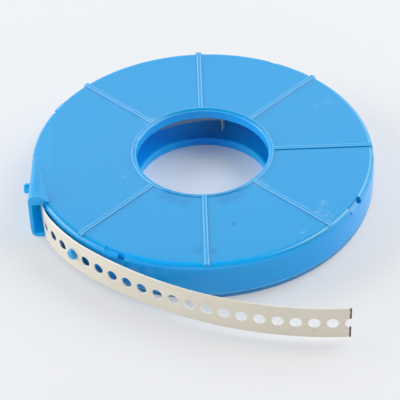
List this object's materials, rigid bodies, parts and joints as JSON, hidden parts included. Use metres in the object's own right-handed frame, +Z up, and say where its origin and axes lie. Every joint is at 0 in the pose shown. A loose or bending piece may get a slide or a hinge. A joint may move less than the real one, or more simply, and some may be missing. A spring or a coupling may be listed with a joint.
{
  "type": "perforated steel strap",
  "caption": "Galvanised perforated strap wound in a flat round plastic dispenser case, its free end led out of the spout.",
  "frame": {"origin": "on the axis of the case's middle hole, at the plane that the underside rests on", "axes": "+Z up along that axis; +X away from the spout; the spout is at -X and its mouth faces -Y; the tail runs round the -Y side"},
  "size_m": [0.1692, 0.193, 0.0251],
  "materials": {
    "case_plastic": "moulded, satin gloss",
    "strap_steel": "galvanised, satin"
  },
  "bodies": {
    "root": {"case_base": "case_plastic", "case_lid": "case_plastic", "strap": "strap_steel"}
  },
  "joints": []
}
